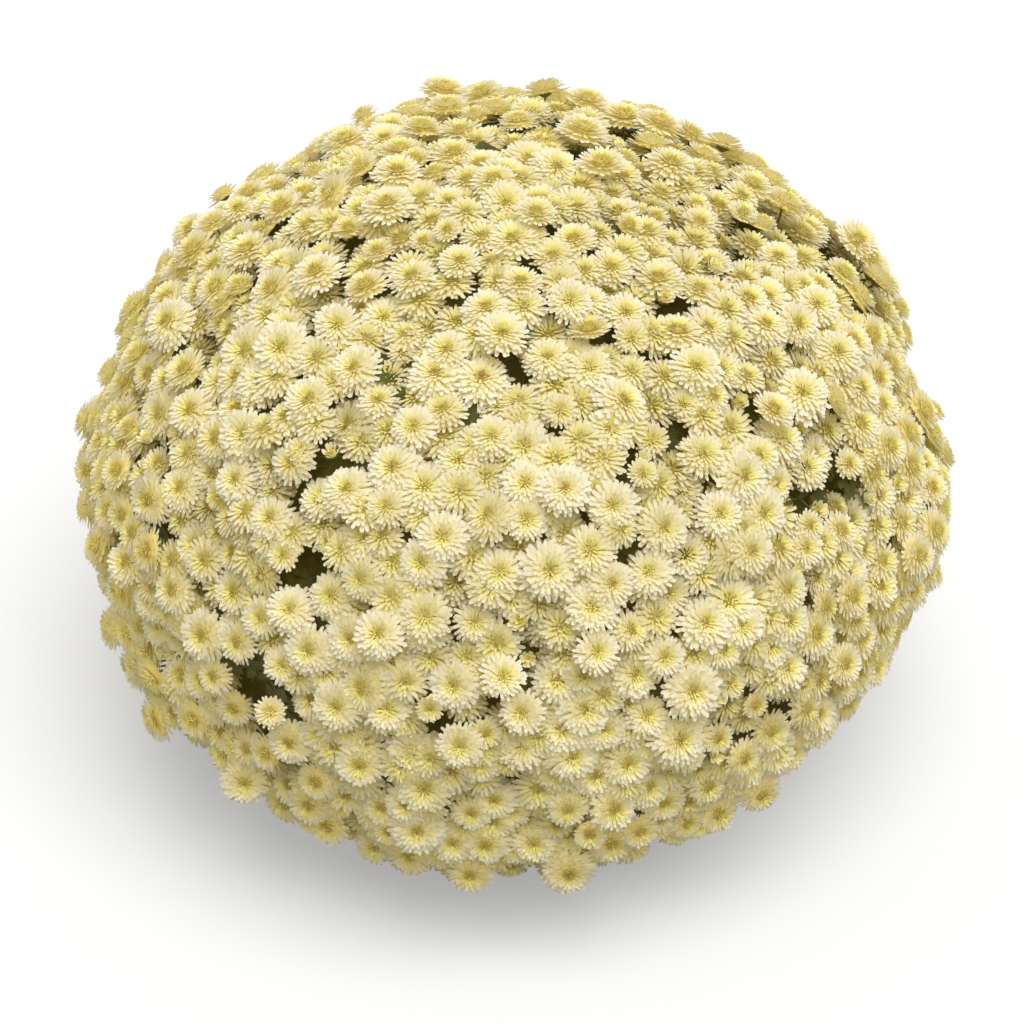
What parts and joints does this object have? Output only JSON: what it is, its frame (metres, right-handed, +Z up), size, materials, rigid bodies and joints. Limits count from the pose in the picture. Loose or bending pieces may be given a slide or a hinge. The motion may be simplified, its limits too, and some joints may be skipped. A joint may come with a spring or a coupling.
{
  "type": "potted belgian mum",
  "caption": "Belgian mum in full bloom: a broad, low dome of small cream double blooms on leafy stems, in a plain nursery pot.",
  "frame": {"origin": "centre of the pot's flat base, on the surface that the pot stands on", "axes": "+Z up through the main stem, -Y towards the front that the picture shows, +X to the right seen from the front"},
  "size_m": [0.5975, 0.6011, 0.4671],
  "materials": {
    "petals": "matte",
    "foliage": "satin",
    "bark": "matte",
    "soil": "matte",
    "pot_plastic": "satin"
  },
  "bodies": {
    "root": {"pot": "pot_plastic", "potting_soil": "soil", "main_stem": "bark", "bloom_spray_01": "petals", "leafy_stem_01": "foliage", "bloom_spray_02": "petals", "leafy_stem_02": "foliage", "bloom_spray_03": "petals", "leafy_stem_03": "foliage", "bloom_spray_04": "petals", "leafy_stem_04": "foliage", "bloom_spray_05": "petals", "leafy_stem_05": "foliage", "bloom_spray_06": "petals", "leafy_stem_06": "foliage", "bloom_spray_07": "petals", "leafy_stem_07": "foliage", "bloom_spray_08": "petals", "leafy_stem_08": "foliage", "bloom_spray_09": "petals", "leafy_stem_09": "foliage", "bloom_spray_10": "petals", "leafy_stem_10": "foliage", "bloom_spray_11": "petals", "leafy_stem_11": "foliage", "bloom_spray_12": "petals", "leafy_stem_12": "foliage", "bloom_spray_13": "petals", "leafy_stem_13": "foliage", "bloom_spray_14": "petals", "leafy_stem_14": "foliage", "bloom_spray_15": "petals", "leafy_stem_15": "foliage", "bloom_spray_16": "petals", "leafy_stem_16": "foliage", "bloom_spray_17": "petals", "leafy_stem_17": "foliage", "bloom_spray_18": "petals", "leafy_stem_18": "foliage", "bloom_spray_19": "petals", "leafy_stem_19": "foliage", "bloom_spray_20": "petals", "leafy_stem_20": "foliage"}
  },
  "joints": []
}
